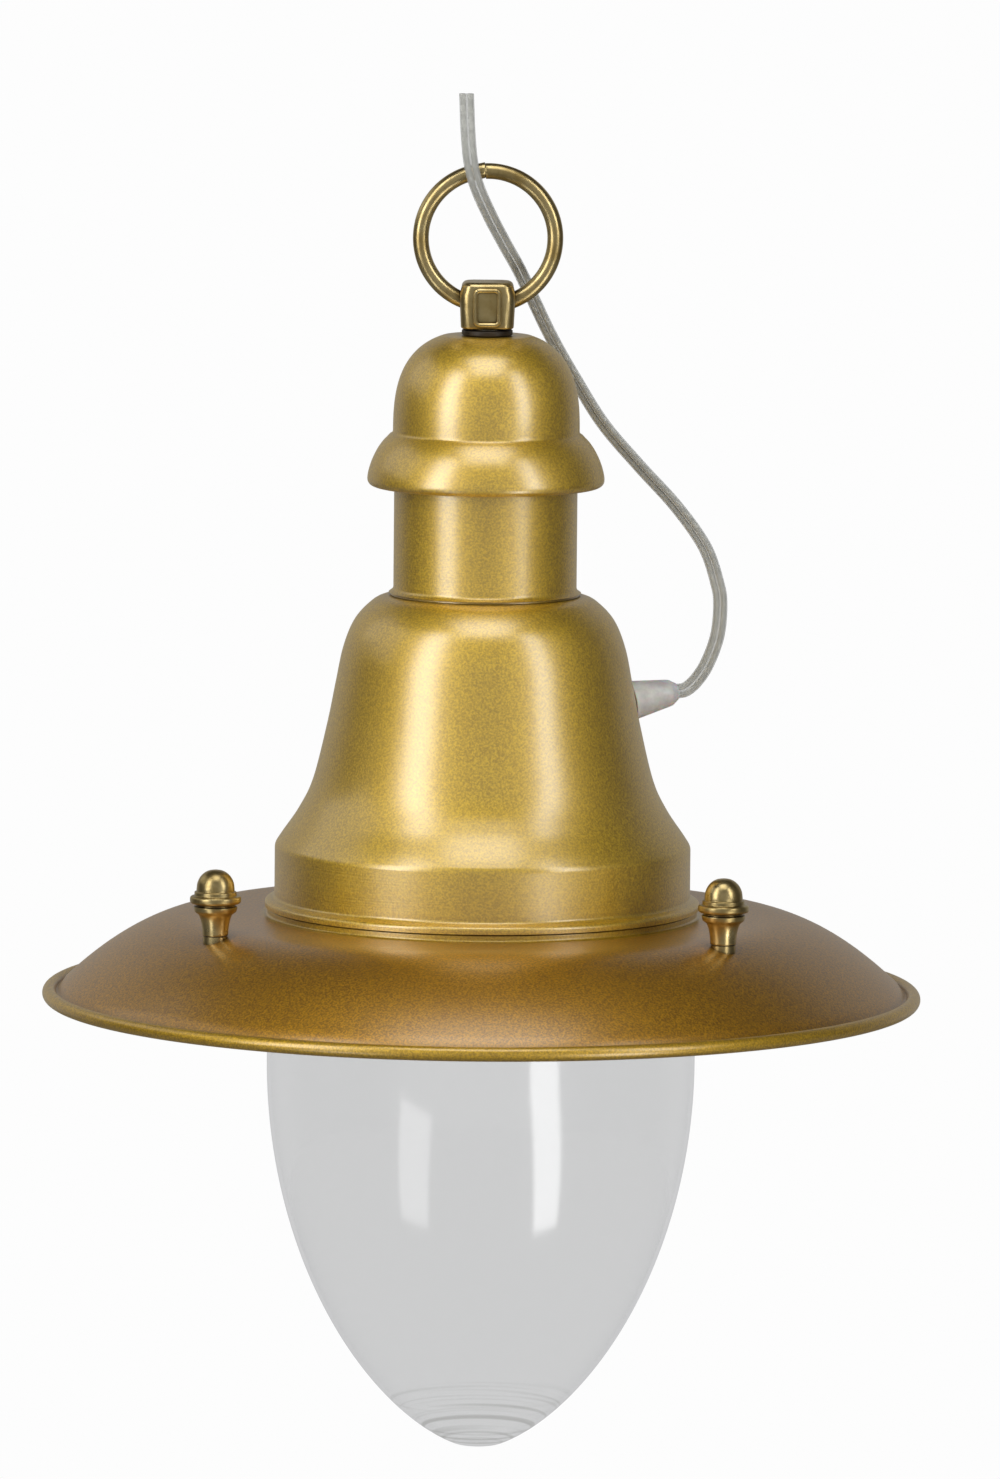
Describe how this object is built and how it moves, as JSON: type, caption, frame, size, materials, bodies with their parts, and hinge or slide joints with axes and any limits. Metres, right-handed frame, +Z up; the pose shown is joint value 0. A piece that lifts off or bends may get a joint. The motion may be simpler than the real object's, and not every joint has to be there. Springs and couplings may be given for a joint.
{
  "type": "ship lantern",
  "caption": "Hanging pendant lantern: ring and cast holder over a domed cap, neck and bell, wide shallow shade held by thumb nuts, pointed clear glass below, flex at the side.",
  "frame": {"origin": "the point the lantern hangs from: the inner top of its hanging ring, on the lantern's axis", "axes": "+Z up along the lantern's axis, towards the hook; +X to the viewer's right, the side the flex leaves the bell on; -Y towards the viewer"},
  "size_m": [0.37, 0.37, 0.5718],
  "materials": {
    "gold_paint": "satin gold metallic paint with a fine speckle, on spun steel",
    "brushed_gold_paint": "gold lacquer over fine turned lines",
    "antique_brass": "polished antique brass, dark in its recesses",
    "plain_brass": "bright turned brass",
    "dark_washer": "blackened steel",
    "zinc_steel": "zinc plated",
    "clear_glass": "clear blown glass",
    "gasket_rubber": "matt black",
    "natural_nylon": "natural moulded nylon",
    "milky_plastic": "translucent milky moulding",
    "white_ceramic": "glazed white porcelain",
    "clear_flex": "clear sheath over two tinned cores",
    "lead_sheath": "clear insulation over a tinned core"
  },
  "bodies": {
    "ring": {"hanging_ring": "antique_brass"},
    "lantern": {"ring_holder": "antique_brass", "holder_washer": "dark_washer", "dome_cap": "gold_paint", "neck_tube": "brushed_gold_paint", "bell_housing": "gold_paint", "shade": "gold_paint", "threaded_tube": "zinc_steel", "clamp_bridge": "zinc_steel", "bridge_washer": "zinc_steel", "bridge_nut": "plain_brass", "lampholder_cap": "white_ceramic", "lampholder_skirt": "white_ceramic", "lampholder_shell": "plain_brass", "lampholder_contact": "plain_brass", "terminal_block": "natural_nylon", "terminal_screw": "zinc_steel", "cord_tail": "clear_flex", "lead_live": "lead_sheath", "lead_neutral": "lead_sheath", "strain_relief": "milky_plastic", "strain_relief_nut": "natural_nylon", "supply_cord": "clear_flex", "nut_washer_1": "antique_brass", "nut_washer_2": "antique_brass", "nut_washer_3": "antique_brass"},
    "glass_set": {"glass_carrier": "zinc_steel", "clamp_stud_1": "zinc_steel", "clamp_stud_2": "zinc_steel", "clamp_stud_3": "zinc_steel", "glass_gasket": "gasket_rubber", "glass_globe": "clear_glass"},
    "nut_1": {"finial_nut_1": "antique_brass"},
    "nut_2": {"finial_nut_2": "antique_brass"},
    "nut_3": {"finial_nut_3": "antique_brass"}
  },
  "joints": [
    {"name": "ring_swing", "type": "hinge", "parent": "ring", "child": "lantern", "pos_m": [0, 0, -0.0512], "axis": [1, 0, 0], "range_deg": [-10, 30]},
    {"name": "glass_drop", "type": "slide", "parent": "lantern", "child": "glass_set", "axis": [0, 0, -1], "range_m": [0, 0.09]},
    {"name": "nut_turn_1", "type": "hinge", "parent": "lantern", "child": "nut_1", "pos_m": [-0.11091, -0.07341, -0.30985], "axis": [0, 0, 1], "range_deg": [0, 2880]},
    {"name": "nut_turn_2", "type": "hinge", "parent": "lantern", "child": "nut_2", "pos_m": [0.10038, -0.08726, -0.30985], "axis": [0, 0, 1], "range_deg": [0, 2880]},
    {"name": "nut_turn_3", "type": "hinge", "parent": "lantern", "child": "nut_3", "pos_m": [0.00881, 0.13271, -0.30985], "axis": [0, 0, 1], "range_deg": [0, 2880]}
  ]
}
